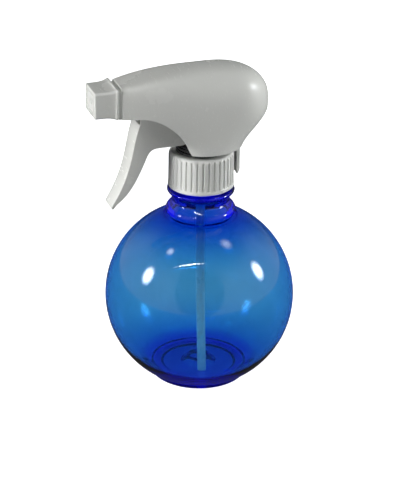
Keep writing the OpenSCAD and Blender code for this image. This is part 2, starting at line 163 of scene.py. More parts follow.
def revolve(profile, steps, at=(0.0, 0.0), along_x=False, shape=None):
    """Turns a profile of (radius, height) about Z, or about X through (y, z) = at.
    shape(radius, height, angle, index) may give another radius at each point."""
    verts, faces = [], []
    n = len(profile)
    for i in range(steps):
        a = 2 * math.pi * i / steps
        for k, (r, h) in enumerate(profile):
            rr = shape(r, h, a, k) if shape else r
            u, v = rr * math.cos(a), rr * math.sin(a)
            verts.append((h, at[0] + u, at[1] + v) if along_x
                         else (at[0] + u, at[1] + v, h))
        j = (i + 1) % steps
        for k in range(n - 1):
            faces.append((i * n + k, j * n + k, j * n + k + 1, i * n + k + 1))
    return verts, faces


def closed_profile(profile):
    return profile + [profile[0]]


def sweep(rings, closed_ends=True):
    """Skin over rings of points that all have the same count."""
    verts = [p for ring in rings for p in ring]
    m = len(rings[0])
    faces = []
    for i in range(len(rings) - 1):
        for j in range(m):
            k = (j + 1) % m
            faces.append((i * m + j, i * m + k, (i + 1) * m + k, (i + 1) * m + j))
    if closed_ends:
        faces.append(tuple(range(m))[::-1])
        faces.append(tuple((len(rings) - 1) * m + j for j in range(m)))
    return verts, faces


# ---- materials ----------------------------------------------------------------------------

class Graph:
    """Makes and links the shader nodes of one material."""

    def __init__(self, name):
        self.material = bpy.data.materials.new(name)
        self.material.use_nodes = True
        self.tree = self.material.node_tree
        self.tree.nodes.clear()
        self.out = self.add("ShaderNodeOutputMaterial")

    def add(self, kind, **values):
        node = self.tree.nodes.new(kind)
        for key, value in values.items():
            setattr(node, key, value)
        return node

    def link(self, a, b):
        self.tree.links.new(a, b)

    def noise(self, scale, detail=3.0, rough=0.55, stretch=(1, 1, 1)):
        place = self.add("ShaderNodeTexCoord")
        mapping = self.add("ShaderNodeMapping")
        mapping.inputs["Scale"].default_value = stretch
        tex = self.add("ShaderNodeTexNoise")
        tex.inputs["Scale"].default_value = scale
        tex.inputs["Detail"].default_value = detail
        tex.inputs["Roughness"].default_value = rough
        self.link(place.outputs["Object"], mapping.inputs["Vector"])
        self.link(mapping.outputs["Vector"], tex.inputs["Vector"])
        return tex.outputs["Fac"]

    def ramp(self, source, low, high, a, b):
        """a where source is low or less, b where it is high or more."""
        node = self.add("ShaderNodeMapRange")
        node.inputs["From Min"].default_value = low
        node.inputs["From Max"].default_value = high
        node.inputs["To Min"].default_value = a
        node.inputs["To Max"].default_value = b
        self.link(source, node.inputs["Value"])
        return node.outputs["Result"]

    def patches(self, scale, detail=3.0):
        """0 to 1 in soft patches."""
        return self.ramp(self.noise(scale, detail), 0.35, 0.7, 0.0, 1.0)

    def blend(self, factor, a, b):
        """From a to b by factor. Each is a colour or another node's output."""
        node = self.add("ShaderNodeMix", data_type="RGBA")
        self.link(factor, node.inputs[0])
        for socket, value in ((node.inputs[6], a), (node.inputs[7], b)):
            if isinstance(value, tuple):
                socket.default_value = (*value, 1.0)
            else:
                self.link(value, socket)
        return node.outputs[2]

    def multiply(self, a, b):
        node = self.add("ShaderNodeMath", operation="MULTIPLY")
        self.link(a, node.inputs[0])
        if isinstance(b, float):
            node.inputs[1].default_value = b
        else:
            self.link(b, node.inputs[1])
        return node.outputs[0]

    def bumps(self, *layers):
        """Layers of (height, strength, distance in metres), one over another."""
        normal = None
        for height, strength, distance in layers:
            node = self.add("ShaderNodeBump")
            node.inputs["Strength"].default_value = strength
            node.inputs["Distance"].default_value = distance
            self.link(height, node.inputs["Height"])
            if normal is not None:
                self.link(normal, node.inputs["Normal"])
            normal = node.outputs["Normal"]
        return normal


# noise scales of the surface patterns, from the widest to the finest
DRIFT, WAVES, PATCHES, SPECKS, SCUFFS, GRAIN = 28.0, 34.0, 60.0, 900.0, 1400.0, 2600.0
DIRT_SHADE, SCUFF_ROUGH, PATCH_SPREAD = 0.82, 0.04, 0.03
IOR_PLASTIC, IOR_CLEAR, IOR_MILKY = 1.49, 1.57, 1.5


def plastic(name, colour, shade, rough, grain=0.15, specular=0.5, soft=0.0):
    """Moulded plastic: colour drift, patches of gloss, a fine grain, scuffs and flow marks."""
    g = Graph(name)
    drift = g.noise(DRIFT, 4.0)
    specks = g.ramp(g.noise(SPECKS, 2.0), 0.66, 0.74, 0.0, 0.35)
    colour_out = g.blend(g.ramp(drift, 0.35, 0.7, 0.0, 1.0), colour, shade)
    dirt = tuple(c * DIRT_SHADE for c in shade)
    colour_out = g.blend(g.multiply(specks, g.ramp(drift, 0.45, 0.65, 0.0, 1.0)),
                         colour_out, dirt)
    scuffs = g.ramp(g.noise(SCUFFS, 2.0, stretch=(1.0, 0.12, 0.4)), 0.64, 0.74, 0.0, 1.0)
    patches = g.ramp(g.noise(PATCHES, 5.0), 0.3, 0.7, rough * (1 - PATCH_SPREAD),
                     rough * (1 + PATCH_SPREAD))
    more = g.add("ShaderNodeMath", operation="MULTIPLY_ADD")
    g.link(scuffs, more.inputs[0])
    more.inputs[1].default_value = SCUFF_ROUGH
    g.link(patches, more.inputs[2])
    shader = g.add("ShaderNodeBsdfPrincipled")
    g.link(colour_out, shader.inputs["Base Color"])
    g.link(more.outputs[0], shader.inputs["Roughness"])
    shader.inputs["Specular IOR Level"].default_value = specular
    shader.inputs["IOR"].default_value = IOR_PLASTIC
    if soft:
        shader.inputs["Subsurface Weight"].default_value = soft
        shader.inputs["Subsurface Radius"].default_value = (0.004, 0.0036, 0.003)
        shader.inputs["Subsurface Scale"].default_value = 0.5
    g.link(g.bumps((g.noise(WAVES, 2.0), 0.02, 0.0003), (g.noise(GRAIN, 2.0), grain, 0.00002),
                   (scuffs, 0.05, 0.00001)), shader.inputs["Normal"])
    g.link(shader.outputs[0], g.out.inputs["Surface"])
    return g.material


def clear_plastic(name, tint, absorb, rough):
    """Clear tinted plastic that gets its depth of colour from its real thickness.
    absorb holds how much of red, green and blue is lost, per metre."""
    g = Graph(name)
    shader = g.add("ShaderNodeBsdfPrincipled")
    g.link(g.blend(g.patches(40.0), tint, tuple(c * 0.97 for c in tint)),
           shader.inputs["Base Color"])
    marks = g.ramp(g.noise(300.0, 3.0, stretch=(1.0, 1.0, 0.12)), 0.62, 0.8, 0.0, 0.05)
    wear = g.add("ShaderNodeMath", operation="ADD")
    g.link(g.ramp(g.noise(90.0, 3.0), 0.3, 0.75, rough * 0.6, rough * 1.5), wear.inputs[0])
    g.link(marks, wear.inputs[1])
    g.link(wear.outputs[0], shader.inputs["Roughness"])
    shader.inputs["Transmission Weight"].default_value = 1.0
    shader.inputs["IOR"].default_value = IOR_CLEAR
    g.link(g.bumps((g.noise(22.0, 2.0), 0.16, 0.0012), (g.noise(130.0, 2.0), 0.05, 0.00015)),
           shader.inputs["Normal"])
    depth = g.add("ShaderNodeVolumeAbsorption")
    most = max(absorb)
    depth.inputs["Color"].default_value = (*(1 - a / most for a in absorb), 1.0)
    depth.inputs["Density"].default_value = most
    g.link(shader.outputs[0], g.out.inputs["Surface"])
    g.link(depth.outputs[0], g.out.inputs["Volume"])
    return g.material


# colour of the painted glow that milky parts give out, though they are no lamps
PAINTED_GLOW_COLOUR = (0.72, 0.88, 1.0, 1.0)


def milky_plastic(name, colour, clear, rough, painted_glow=0.0):
    """Plastic that lets some light through. The last argument is the strength of a faint
    painted glow: the wall gives out light of its own, though it is no lamp, in place of lamp
    light that would reach it and spread through the milky wall."""
    g = Graph(name)
    shader = g.add("ShaderNodeBsdfPrincipled")
    g.link(g.blend(g.patches(70.0), colour, tuple(c * 0.93 for c in colour)),
           shader.inputs["Base Color"])
    g.link(g.ramp(g.noise(160.0, 3.0), 0.3, 0.7, rough * 0.8, rough * 1.25),
           shader.inputs["Roughness"])
    shader.inputs["Transmission Weight"].default_value = clear
    shader.inputs["IOR"].default_value = IOR_MILKY
    # painted glow: the surface gives out light of its own
    shader.inputs["Emission Color"].default_value = PAINTED_GLOW_COLOUR
    shader.inputs["Emission Strength"].default_value = painted_glow
    g.link(g.bumps((g.noise(500.0, 3.0, stretch=(1.0, 1.0, 0.1)), 0.12, 0.00005)),
           shader.inputs["Normal"])
    g.link(shader.outputs[0], g.out.inputs["Surface"])
    return g.material


def metal(name, colour, rough, brushed):
    """Bare metal, with fine lines along Z when it is brushed or drawn."""
    g = Graph(name)
    shader = g.add("ShaderNodeBsdfPrincipled")
    lines = g.noise(700.0, 3.0, stretch=(1.0, 1.0, 0.08 if brushed else 1.0))
    g.link(g.blend(g.patches(150.0), colour, tuple(c * 0.85 for c in colour)),
           shader.inputs["Base Color"])
    g.link(g.ramp(lines, 0.3, 0.7, rough * 0.7, rough * 1.4), shader.inputs["Roughness"])
    shader.inputs["Metallic"].default_value = 1.0
    g.link(g.bumps((lines, 0.1, 0.00002)), shader.inputs["Normal"])
    g.link(shader.outputs[0], g.out.inputs["Surface"])
    return g.material


WHITE = plastic("white_plastic", (0.80, 0.81, 0.775), (0.784, 0.794, 0.758), 0.27)
WHITE_COLLAR = plastic("white_collar_plastic", (0.83, 0.84, 0.81), (0.79, 0.80, 0.77), 0.34)
WHITE_INNER = plastic("white_inner_plastic", (0.74, 0.75, 0.73), (0.69, 0.70, 0.68), 0.42)
DARK = plastic("dark_plastic", (0.012, 0.012, 0.014), (0.02, 0.02, 0.022), 0.38, 0.3)
RUBBER = plastic("grey_rubber", (0.05, 0.05, 0.055), (0.075, 0.075, 0.08), 0.7, 0.4, 0.35)
BLUE = clear_plastic("blue_clear_plastic", (0.83, 0.75, 0.58), (2600.0, 960.0, 3.0), 0.012)
MILKY = milky_plastic("milky_plastic", (0.80, 0.86, 0.88), 0.35, 0.4)
# the suction tube has a faint painted glow, in place of lamp light that doesn't reach it
# through the bottle's glass
TUBE = milky_plastic("tube_plastic", (0.97, 0.99, 1.0), 0.15, 0.3, 0.17)
WIRE = metal("spring_wire", (0.62, 0.61, 0.59), 0.28, True)
BALL = metal("ball_steel", (0.70, 0.70, 0.72), 0.12, False)


# ---- bottle -------------------------------------------------------------------------------

ROUND_STEPS = 168       # points round the bottle
# thickness half way up, what the shoulder and the base add, and how fast that fades
WALL, WALL_TOP, WALL_BASE, WALL_BASE_Z, FADE_TOP, FADE_BASE = 0.6, 1.9, 1.4, 4.0, 5.0, 7.0
BEAD_ROUND, WAIST_ROUND, FLANGE_ROUND = 2.8, 2.6, 1.2
BODY_R, BODY_Z = 48.0, 43.0
SHOULDER_Z, BEAD_Z, BEAD_R = 87.4, 90.7, 17.6
WAIST_Z, WAIST_R, FLANGE_Z, FLANGE_R = 96.9, 14.1, 101.5, 17.0
NECK_R, BORE_R, RIM_Z = 12.6, 10.9, 118.4
FOOT_R, FOOT_TOP, RING_R = 25.0, 2.7, 19.5
FLOOR_Z, PUNT_R, PUNT_Z = 3.6, 9.0, 7.0
PITCH, THREAD_Z, THREAD_TURNS, THREAD_RISE = 4.23, 108.6, 1.4, 1.1
THREAD_HALF, THREAD_FLANK = 0.85, 0.5
THREAD_RUN_IN = 8       # an eighth of a turn from each end to the ridge's full height


def on_sphere(radius, z):
    """Angle in degrees at which the ball's outline passes this height."""
    return math.degrees(math.asin((z - BODY_Z) / radius))


def wall_at(z):
    """Wall thickness: thin half way up, thicker at the shoulder and the base."""
    top = WALL_TOP * math.exp((z - SHOULDER_Z) / FADE_TOP)
    base = WALL_BASE * math.exp((WALL_BASE_Z - z) / FADE_BASE)
    return WALL + top + base


def bottle_profile():
    """Outline from the middle of the underside, up outside, over the rim and down inside."""
    foot = rounded([(0, PUNT_Z - 2.2), (PUNT_R - 4.5, PUNT_Z - 2.2), (PUNT_R - 0.6, 1.2),
                    (RING_R - 1, 1.2), (RING_R, 0.0), (FOOT_R - 0.8, 0.0), (FOOT_R, 0.8),
                    (FOOT_R + 0.1, FOOT_TOP - 0.5)], 0.7)
    body = arc((0, BODY_Z), BODY_R, on_sphere(BODY_R, FOOT_TOP + 0.15),
               on_sphere(BODY_R, SHOULDER_Z), 120)
    neck = (arc((BEAD_R - BEAD_ROUND, BEAD_Z), BEAD_ROUND, -60, 62, 16)
            + arc((WAIST_R + WAIST_ROUND, WAIST_Z), WAIST_ROUND, 235, 125, 16)
            + arc((FLANGE_R - FLANGE_ROUND, FLANGE_Z), FLANGE_ROUND, -65, 75, 12)
            + [(NECK_R + 0.7, FLANGE_Z + 1.6), (NECK_R + 0.15, FLANGE_Z + 2.0)])
    rows = 52
    bottom, top = FLANGE_Z + 2.3, RIM_Z - 0.6
    finish = [(NECK_R, bottom + (top - bottom) * i / rows) for i in range(rows + 1)]
    rim = arc((NECK_R - 0.5, RIM_Z - 0.5), 0.5, 0, 90, 4) + arc(
        (BORE_R + 0.4, RIM_Z - 0.4), 0.4, 90, 180, 4)
    inner = [(BORE_R, RIM_Z - 4), (BORE_R, WAIST_Z + 5)]
    inner += arc((WAIST_R + 0.5, WAIST_Z), WAIST_ROUND, 150, 215, 10)
    inner += arc((BEAD_R - 5.3, BEAD_Z - 0.4), BEAD_ROUND, 35, -30, 10)
    high, low = SHOULDER_Z - 1.2, 7.4
    count = 110
    for i in range(count + 1):
        z = high - (high - low) * i / count
        radius = BODY_R - wall_at(z)
        inner.append((math.sqrt(radius ** 2 - (z - BODY_Z) ** 2), z))
    inner += rounded([(27.0, 6.0), (RING_R + 2.6, FLOOR_Z + 0.6), (RING_R, FLOOR_Z),
                      (PUNT_R, FLOOR_Z), (PUNT_R - 3.4, PUNT_Z), (0, PUNT_Z)], 1.0)
    return foot + body + [(BEAD_R + 1.0, SHOULDER_Z + 0.35)] + neck + finish + rim + inner


def thread_share(z, angle, start_z, half_width):
    """Share of a helical ridge's height that stands at this height and angle."""
    best = 0.0
    for turn in (0, 1):
        done = angle / (2 * math.pi) + turn
        if done > THREAD_TURNS:
            continue
        off = abs(z - (start_z + PITCH * done))
        run = min(1.0, min(done, THREAD_TURNS - done) * THREAD_RUN_IN)
        best = max(best, run * smooth((half_width - off) / THREAD_FLANK))
    return best


def bottle_shape(r, z, angle, _):
    if abs(r - NECK_R) < 1e-6 and FLANGE_Z + 2 < z < RIM_Z - 0.5:
        return r + THREAD_RISE * thread_share(z, angle, THREAD_Z, THREAD_HALF)
    return r


verts, faces = revolve(bottle_profile(), ROUND_STEPS, shape=bottle_shape)
new_piece("bottle_body", verts, faces, BLUE, "bottle", ["bottle"], sharp=50)


# ---- collar -------------------------------------------------------------------------------

COLLAR_Z, COLLAR_TOP, COLLAR_R, RIBS = 104.0, 122.5, 16.4, 36
COLLAR_BORE, LIP_R, LIP_Z = 13.95, 10.2, 121.0
RIB_DEPTH, STEPS_PER_RIB = 0.62, 14
COLLAR_THREAD_Z, COLLAR_THREAD_HALF = 107.4, 0.8
THREADED = -1.0         # marks the rows of the bore that carry the thread


def rib(angle):
    """1 on a rib and 0 in the groove beside it."""
    t = abs(((angle / (2 * math.pi) * RIBS) + 0.5) % 1.0 - 0.5)
    return smooth((0.40 - t) / 0.13)


def collar_rings():
    """Rows of (height, radius in the grooves, share of the ribs' height or THREADED)."""
    rows = [(COLLAR_Z, COLLAR_R - 0.35, 0.0), (COLLAR_Z + 0.08, COLLAR_R + 0.02, 0.0),
            (COLLAR_Z + 0.3, COLLAR_R + 0.18, 0.0), (COLLAR_Z + 0.9, COLLAR_R + 0.2, 0.0),
            (COLLAR_Z + 1.45, COLLAR_R + 0.16, 0.0), (COLLAR_Z + 1.75, COLLAR_R + 0.02, 0.0)]
    grooved = COLLAR_R - RIB_DEPTH
    rows += [(COLLAR_Z + 1.95, COLLAR_R - 0.12, 0.1), (COLLAR_Z + 2.3, grooved + 0.1, 0.85)]
    low, high = COLLAR_Z + 2.7, COLLAR_TOP - 2.1
    rows += [(low + (high - low) * i / 10, grooved - 0.12 * i / 10, 1.0) for i in range(11)]
    rows += [(COLLAR_TOP - 1.7, grooved - 0.13, 0.95), (COLLAR_TOP - 1.35, grooved - 0.1, 0.6),
             (COLLAR_TOP - 1.1, grooved - 0.05, 0.25), (COLLAR_TOP - 0.9, grooved - 0.02, 0.0),
             (COLLAR_TOP - 0.45, grooved - 0.25, 0.0), (COLLAR_TOP - 0.12, grooved - 0.75, 0.0),
             (COLLAR_TOP, grooved - 1.5, 0.0), (COLLAR_TOP, LIP_R + 0.4, 0.0),
             (COLLAR_TOP - 0.3, LIP_R, 0.0), (LIP_Z + 0.2, LIP_R, 0.0),
             (LIP_Z, LIP_R + 0.3, 0.0), (LIP_Z, COLLAR_BORE - 0.6, 0.0),
             (LIP_Z - 0.6, COLLAR_BORE, 0.0)]
    low, high = COLLAR_Z + 1.4, LIP_Z - 1.2
    rows += [(high + (low - high) * i / 48, COLLAR_BORE, THREADED) for i in range(49)]
    rows += [(COLLAR_Z + 0.5, COLLAR_BORE + 0.05, 0.0), (COLLAR_Z, COLLAR_BORE + 0.6, 0.0)]
    return rows


collar_rows = collar_rings()


def collar_shape(r, z, angle, k):
    share = collar_rows[k % len(collar_rows)][2]
    if share == THREADED:
        return r - thread_share(z, angle, COLLAR_THREAD_Z, COLLAR_THREAD_HALF)
    return r + RIB_DEPTH * share * rib(angle)


profile = closed_profile([(r, z) for z, r, _ in collar_rows])
verts, faces = revolve(profile, RIBS * STEPS_PER_RIB, shape=collar_shape)
new_piece("screw_collar", verts, faces, WHITE_COLLAR, "collar", ["collar"],
          sharp=48)


# ---- dark ring, gasket and dip tube -------------------------------------------------------

DRUM_R, RING_OUT, DRUM_TOP, GROOVE_DEPTH = 9.5, 12.8, 127.4, 0.8
GASKET_R, GASKET_BORE, GASKET_T = 12.4, 8.5, 1.2
groove = RING_OUT - GROOVE_DEPTH
ring_profile = rounded([
    (DRUM_R + 0.02, COLLAR_TOP + 0.4), (RING_OUT, COLLAR_TOP + 0.4), (RING_OUT, 124.2),
    (groove, 124.2), (groove, 124.9), (RING_OUT, 124.9), (RING_OUT, 126.0), (groove, 126.0),
    (groove, 126.6), (RING_OUT, 126.6), (RING_OUT, DRUM_TOP), (DRUM_R + 0.02, DRUM_TOP)],
    0.16, 3, closed=True)
verts, faces = revolve(closed_profile(ring_profile), 120)
new_piece("retaining_ring", verts, faces, DARK, "head", ["swivel_ring"], sharp=40)

gasket_top = RIM_Z + GASKET_T
gasket_profile = rounded([(GASKET_BORE, RIM_Z), (GASKET_R, RIM_Z), (GASKET_R, gasket_top),
                          (GASKET_BORE, gasket_top)], 0.2, 3, closed=True)
verts, faces = revolve(closed_profile(gasket_profile), 96)
new_piece("neck_gasket", verts, faces, RUBBER, "neck_seal", ["gasket"])

TUBE_R, TUBE_BORE = 2.2, 1.5
TUBE_TOP, STRAIGHT_Z, BEND_Z, TUBE_END = 112.0, 106.0, 101.0, 5.0
REACH, HEADING = 15.0, 258.0    # how far the foot of the tube bends out, and which way


def tube_route(steps=60):
    """Middle line as (x, y, z, lean), straight at the top and bent to one side below."""
    drop = BEND_Z - TUBE_END
    bend = (drop * drop + REACH * REACH) / (2 * REACH)
    whole = math.asin(drop / bend)
    c, s = math.cos(math.radians(HEADING)), math.sin(math.radians(HEADING))
    route = [(0.0, 0.0, TUBE_TOP, 0.0), (0.0, 0.0, STRAIGHT_Z, 0.0)]
    for i in range(steps + 1):
        a = whole * i / steps
        off = bend * (1 - math.cos(a))
        route.append((off * c, off * s, BEND_Z - bend * math.sin(a), a))
    return route, c, s


def tube_mesh(steps=40):
    route, c, s = tube_route()
    outside, bore = [], []
    for x, y, z, a in route:
        across = (c * math.cos(a), s * math.cos(a), math.sin(a))
        for radius, rings in ((TUBE_R, outside), (TUBE_BORE, bore)):
            ring = []
            for i in range(steps):
                t = 2 * math.pi * i / steps
                u, v = radius * math.cos(t), radius * math.sin(t)
                ring.append((x + across[0] * u - s * v, y + across[1] * u + c * v,
                             z + across[2] * u))
            rings.append(ring)
    rings = outside + bore[::-1] + outside[:1]
    return sweep(rings, closed_ends=False)


verts, faces = tube_mesh()
new_piece("suction_tube", verts, faces, TUBE, "head", ["dip_tube"], sharp=50)


# ---- cover of the head --------------------------------------------------------------------

FRONT_X, BAND_X, REAR_X, MID_Z, BOTTOM_Z = -45.1, -43.6, 33.8, 147.5, 125.0
HALF_W, CROWN_X, CROWN, TAIL_FOOT, TAIL_RISE, TAIL_BULGE = 16.2, 2.0, 20.5, 122.0, 22.5, 13.8
CROWN_POWER, EDGE, SHELL, TAIL_X = 2.3, 0.25, 1.6, 20.0
BROW, BROW_POWER = 0.01264, 1.6     # how the top falls towards the front
# power of the section at the rear, what the front adds, and over which length
OVAL, BOXY, BOXY_FROM, BOXY_LENGTH, BOXY_POWER = 2.3, 5.0, 2.0, 45.0, 1.6
# plan of the cover: where it is widest at the foot, and how that place and the length ahead
# of it grow over the height in which the cover widens
WIDEST_X, WIDEST_SHIFT, AHEAD, AHEAD_GROWTH, WIDEN_H = 2.0, 12.0, 18.0, 53.0, 22.5


def rear_x(z):
    """Where the cover's rear is at this height."""
    return TAIL_X + TAIL_BULGE * smooth((z - TAIL_FOOT) / TAIL_RISE)


def rear_z(x):
    """The height at which the cover's rear is at x."""
    return TAIL_FOOT + TAIL_RISE * unsmooth((x - TAIL_X) / TAIL_BULGE)


def roof(x, d):
    """Height of the top over MID_Z at x, d inside the outer face."""
    if x < CROWN_X:
        return CROWN - d - BROW * (CROWN_X - x) ** BROW_POWER
    fall = ((x - CROWN_X) / (REAR_X - CROWN_X - d)) ** CROWN_POWER
    return (CROWN - d) * max(0.0, 1 - fall) ** (1 / CROWN_POWER)


def squareness(x):
    """Power of the section's outline: an ellipse at the rear and boxy at the front."""
    return OVAL + BOXY * clamp01((BOXY_FROM - x) / BOXY_LENGTH) ** BOXY_POWER


def half_width(x, z, d):
    """Half the cover's width at x and z, d inside the outer face."""
    t = smooth((z - BOTTOM_Z) / WIDEN_H)
    widest = WIDEST_X + WIDEST_SHIFT * t
    length = (AHEAD + AHEAD_GROWTH * t if x < widest else rear_x(z) - widest) - d
    return max(0.0, HALF_W - d) * math.sqrt(max(0.0, 1 - ((x - widest) / length) ** 2))


ARCH_Z, ARCH_START = 146.8, -36.0
ARCH = [(FRONT_X - 15, ARCH_Z)] + bezier(
    [(ARCH_START, ARCH_Z), (-24.0, 147.4), (-14.0, 136.0), (-10.6, 128.0)], 40) + [
    (-9.2, BOTTOM_Z)]


def foot_at(x):
    """Lower edge of the cover at x, ahead of its rear."""
    if x >= ARCH[-1][0]:
        return BOTTOM_Z
    for (x0, z0), (x1, z1) in zip(ARCH, ARCH[1:]):
        if x0 <= x <= x1:
            return z0 + (z1 - z0) * (x - x0) / (x1 - x0)
    return ARCH[0][1]


def head_section(x, d, foot, n=20):
    """One section of the cover, from its left lower edge over the top to the right one."""
    w, h = max(EDGE, half_width(x, MID_Z, d)), max(EDGE, roof(x, d))
    q = 2 / squareness(x)
    side = []
    for i in range(n):
        z = foot + (MID_Z - foot) * i / n
        side.append((max(EDGE, half_width(x, z, d)), z))
    for i in range(n + 1):
        a = math.pi / 2 * i / n
        side.append((w * max(0.0, math.cos(a)) ** q, MID_Z + h * math.sin(a) ** q))
    side[-1] = (0.0, side[-1][1])
    return [(x, -y, z) for y, z in side] + [(x, y, z) for y, z in side[-2::-1]]


def head_rings(d):
    """Sections from the front to the rear, and the number of those that are open below.
    They lie close together at the front band, over the arch and round the rear."""
    end = rear_x(BOTTOM_Z) - d
    rear = REAR_X - d - 0.03
    lip = [FRONT_X, FRONT_X + 0.25, BAND_X - 0.25, BAND_X - 0.02]
    rings = [head_section(x, d + (0.7 if d == 0 else 0.0), foot_at(x)) for x in lip]
    xs = [BAND_X, BAND_X + 0.15, BAND_X + 0.5, BAND_X + 1.2]
    xs += [-41.0 + 2.0 * i for i in range(13)]
    xs += [-16.0 + 0.35 * i for i in range(22)]
    last = xs[-1]
    xs += [last + (end - last) * math.sin(math.pi / 2 * i / 26) for i in range(1, 27)]
    for x in xs:
        inset = 0.22 if d == 0 and x == BAND_X else 0.0
        rings.append(head_section(x, d + inset, foot_at(x)))
    opened = len(rings) - 1
    for i in range(1, 25):
        x = end + (rear - end) * math.sin(math.pi / 2 * i / 24)
        rings.append(head_section(x, d, rear_z(x + d)))
    return rings, opened


def cover_mesh():
    """Outer and inner skins, joined along the open lower edge and the front opening."""
    outer, opened = head_rings(0.0)
    inner, _ = head_rings(SHELL)
    width, rows = len(outer[0]), len(outer)
    skin = rows * width                 # points in one skin, so where the inner one starts
    verts = [p for ring in outer + inner for p in ring]
    faces = []
    for i in range(rows - 1):
        for j in range(width - 1):
            p, q = i * width + j, (i + 1) * width + j
            faces += [(p, p + 1, q + 1, q), (skin + p, skin + q, skin + q + 1, skin + p + 1)]
    for i in range(rows - 1):
        left, left_next = i * width, (i + 1) * width
        right, right_next = left + width - 1, left_next + width - 1
        if i < opened:                  # the wall's edge on both sides of the opening
            faces += [(left, left_next, skin + left_next, skin + left),
                      (right_next, right, skin + right, skin + right_next)]
        else:                           # the closed underside of the rear
            faces += [(right, left, left_next, right_next),
                      (skin + right, skin + right_next, skin + left_next, skin + left)]
    left, right = opened * width, opened * width + width - 1
    faces.append((left, right, skin + right, skin + left))
    faces += [(j + 1, j, skin + j, skin + j + 1) for j in range(width - 1)]
    middle = (width - 1) // 2
    for j in range(middle):             # the last section of each skin is closed across
        p, q = skin - width + j, skin - 1 - j
        r, s = skin + p, skin + q
        if j < middle - 1:
            faces += [(p, p + 1, q - 1, q), (r, s, s - 1, r + 1)]
        else:
            faces += [(p, p + 1, q), (r, s, r + 1)]
    return verts, faces


verts, faces = cover_mesh()
new_piece("head_cover", verts, faces, WHITE, "head", ["shroud"], sharp=38,
          bevel=0.28)

TONGUE_X, TONGUE_W, TONGUE_END, TONGUE_TOP = 3.3, 12.0, 108.5, 126.6
TONGUE_IN, TONGUE_OUT, TONGUE_SWELL, TONGUE_CORNER = 14.5, 15.0, 1.1, 3.0


def tongue_mesh():
    """The curved tongue behind the collar, rounded at its lower corners."""
    rings = []
    rows = 26
    for i in range(rows + 1):
        z = TONGUE_END + (TONGUE_TOP - TONGUE_END) * i / rows
        low = clamp01((z - TONGUE_END) / TONGUE_CORNER)
        corner = TONGUE_CORNER * math.sqrt(max(0.0, 1 - (1 - low) ** 2))
        half = TONGUE_W / 2 - TONGUE_CORNER + corner
        outer = TONGUE_OUT + TONGUE_SWELL * clamp01((z - TONGUE_END) / 3.5)
        ring = []
        for radius, way in ((outer, 1), (TONGUE_IN, -1)):
            span = math.asin(half / radius)
            for k in range(13):
                a = way * span * (2 * k / 12 - 1)
                ring.append((TONGUE_X + radius * math.cos(a), radius * math.sin(a), z))
        rings.append(ring)
    return sweep(rings)


verts, faces = tongue_mesh()
new_piece("cover_tongue", verts, faces, WHITE, "head", (), sharp=38, bevel=0.25)


# ---- nozzle -------------------------------------------------------------------------------

BARREL_Z = 154.6
CAP_FRONT, CAP_REAR = -57.2, -45.5
SEAT_X = -55.2
CAP_W, CAP_H, FLANGE_W, FLANGE_H = 16.6, 13.6, 19.2, 15.8
DISC_R = 6.2
CORE_R, CORE_X = 2.2, -49.0             # bore behind the disc, and where it ends
SOCKET_R, SOCKET_X = 4.4, -50.4         # wider bore that fits the barrel
# the cap's outside: a small even flare all along, the rest from FLARE_FROM of its length on
EVEN_FLARE, FLARE_FROM, FLARE_POWER = 0.12, 0.4, 2.4
CAP_CORNER, FLANGE_CORNER = 1.4, 1.5


def square_ring(x, w, h, r, steps=8):
    """A rectangle with round corners across the barrel's axis."""
    out = []
    for cy, cz, a in ((w / 2 - r, h / 2 - r, 0), (r - w / 2, h / 2 - r, 90),
                      (r - w / 2, r - h / 2, 180), (w / 2 - r, r - h / 2, 270)):
        out += [(x, cy + u, BARREL_Z + cz + v) for u, v in arc((0, 0), r, a, a + 90, steps)]
    return out


def round_ring(x, radius, like):
    """A circle with a point beside each point of another ring."""
    out = []
    for _, y, z in like:
        a = math.atan2(z - BARREL_Z, y)
        out.append((x, radius * math.cos(a), BARREL_Z + radius * math.sin(a)))
    return out


def cap_mesh():
    """From the bore over the face, along the flared outside and back up the socket."""
    base = square_ring(0, CAP_W, CAP_H, CAP_CORNER)
    rings = [round_ring(CORE_X, CORE_R, base), round_ring(SEAT_X, CORE_R, base),
             round_ring(SEAT_X, DISC_R + 0.02, base),
             round_ring(CAP_FRONT + 0.18, DISC_R + 0.02, base),
             round_ring(CAP_FRONT + 0.03, DISC_R + 0.16, base)]
    rings += [square_ring(CAP_FRONT, CAP_W - 1.3, CAP_H - 0.9, 1.0),
              square_ring(CAP_FRONT + 0.07, CAP_W - 0.55, CAP_H - 0.5, 1.2),
              square_ring(CAP_FRONT + 0.28, CAP_W - 0.15, CAP_H - 0.15, 1.35),
              square_ring(CAP_FRONT + 0.6, CAP_W, CAP_H, CAP_CORNER)]
    for i in range(17):
        t = i / 16
        x = CAP_FRONT + 0.9 + (CAP_REAR - 1.25 - CAP_FRONT - 0.9) * t
        late = clamp01((t - FLARE_FROM) / (1 - FLARE_FROM)) ** FLARE_POWER
        flare = EVEN_FLARE * t + (1 - EVEN_FLARE) * late
        rings.append(square_ring(x, CAP_W + (FLANGE_W - CAP_W - 0.5) * flare,
                                 CAP_H + (FLANGE_H - CAP_H - 0.5) * flare, CAP_CORNER))
    for x, grow in ((-1.1, 0.2), (-0.95, 0.02), (-0.75, 0.0), (-0.3, 0.0), (-0.12, 0.06),
                    (0.0, 0.35)):
        rings.append(square_ring(CAP_REAR + x, FLANGE_W - grow, FLANGE_H - grow,
                                 FLANGE_CORNER))
    rings += [round_ring(CAP_REAR, SOCKET_R + 0.3, base),
              round_ring(CAP_REAR - 0.3, SOCKET_R, base), round_ring(SOCKET_X, SOCKET_R, base),
              round_ring(SOCKET_X, CORE_R, base), round_ring(CORE_X, CORE_R, base)]
    return sweep(rings, closed_ends=False)


verts, faces = cap_mesh()
new_piece("spray_cap", verts, faces, WHITE, "nozzle", ["nozzle_cap"], sharp=36)

